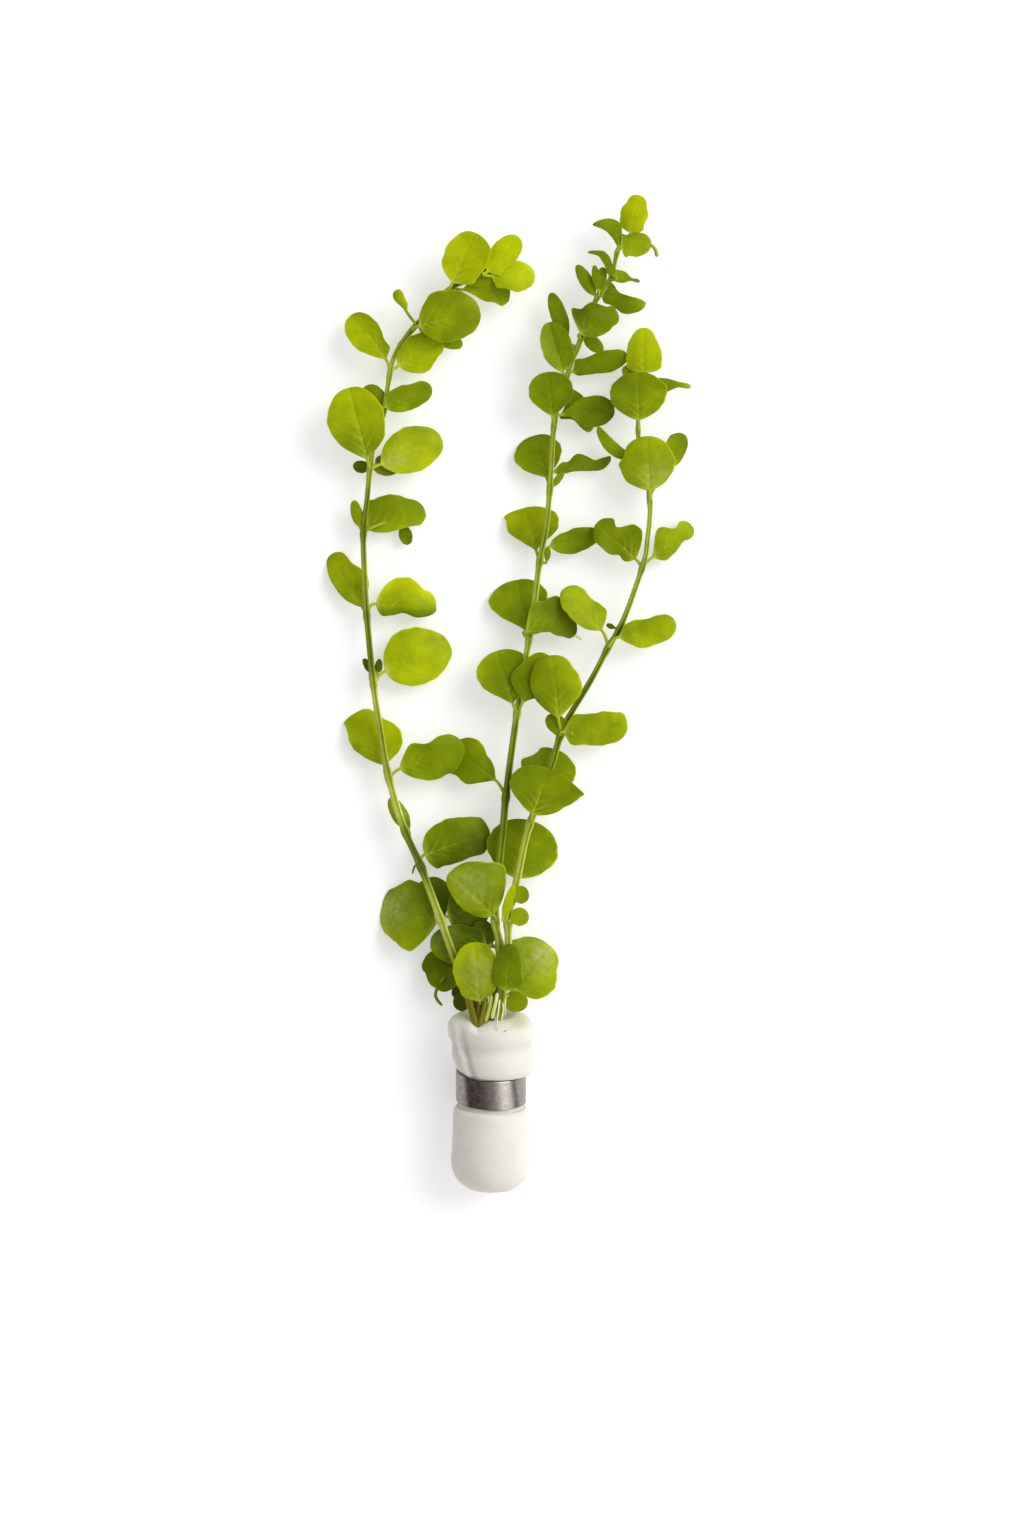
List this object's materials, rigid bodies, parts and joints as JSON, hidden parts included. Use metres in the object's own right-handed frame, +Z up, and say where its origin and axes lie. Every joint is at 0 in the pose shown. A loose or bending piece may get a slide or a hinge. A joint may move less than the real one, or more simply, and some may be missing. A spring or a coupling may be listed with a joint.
{
  "type": "creeping jenny bunch",
  "caption": "Bunched stems of creeping jenny with paired rounded green leaves, lying flat, their cut ends in a pale foam wrap held by a bent metal strip.",
  "frame": {"origin": "middle of the flat underside of the foam wrap, on the surface that the bunch lies on", "axes": "+Y along the bunch from the wrap to the growing tips, +Z up from the surface, +X to the right as seen from above with the tips away"},
  "size_m": [0.0919, 0.249, 0.0192],
  "materials": {
    "leaf": "waxy",
    "stem": "satin",
    "foam": "matt",
    "strip": "dull"
  },
  "bodies": {
    "root": {"leaf_left_01": "leaf", "leaf_left_02": "leaf", "leaf_left_03": "leaf", "leaf_left_04": "leaf", "leaf_left_05": "leaf", "leaf_left_06": "leaf", "leaf_left_07": "leaf", "leaf_left_08": "leaf", "leaf_left_09": "leaf", "leaf_left_10": "leaf", "leaf_left_11": "leaf", "leaf_left_12": "leaf", "leaf_left_13": "leaf", "leaf_left_14": "leaf", "leaf_left_15": "leaf", "leaf_left_16": "leaf", "leaf_left_17": "leaf", "leaf_left_18": "leaf", "leaf_left_19": "leaf", "leaf_left_20": "leaf", "leaf_middle_01": "leaf", "leaf_middle_02": "leaf", "leaf_middle_03": "leaf", "leaf_middle_04": "leaf", "leaf_middle_05": "leaf", "leaf_middle_06": "leaf", "leaf_middle_07": "leaf", "leaf_middle_08": "leaf", "leaf_middle_09": "leaf", "leaf_middle_10": "leaf", "leaf_middle_11": "leaf", "leaf_middle_12": "leaf", "leaf_middle_13": "leaf", "leaf_middle_14": "leaf", "leaf_middle_15": "leaf", "leaf_middle_16": "leaf", "leaf_middle_17": "leaf", "leaf_middle_18": "leaf", "leaf_middle_19": "leaf", "leaf_middle_20": "leaf", "leaf_right_01": "leaf", "leaf_right_02": "leaf", "leaf_right_03": "leaf", "leaf_right_04": "leaf", "leaf_right_05": "leaf", "leaf_right_06": "leaf", "leaf_right_07": "leaf", "leaf_right_08": "leaf", "leaf_right_09": "leaf", "leaf_right_10": "leaf", "leaf_right_11": "leaf", "leaf_right_12": "leaf", "leaf_right_13": "leaf", "leaf_right_14": "leaf", "leaf_right_15": "leaf", "stem_left": "stem", "stem_middle": "stem", "stem_right": "stem", "foam_wrap": "foam", "metal_strip": "strip"}
  },
  "joints": []
}
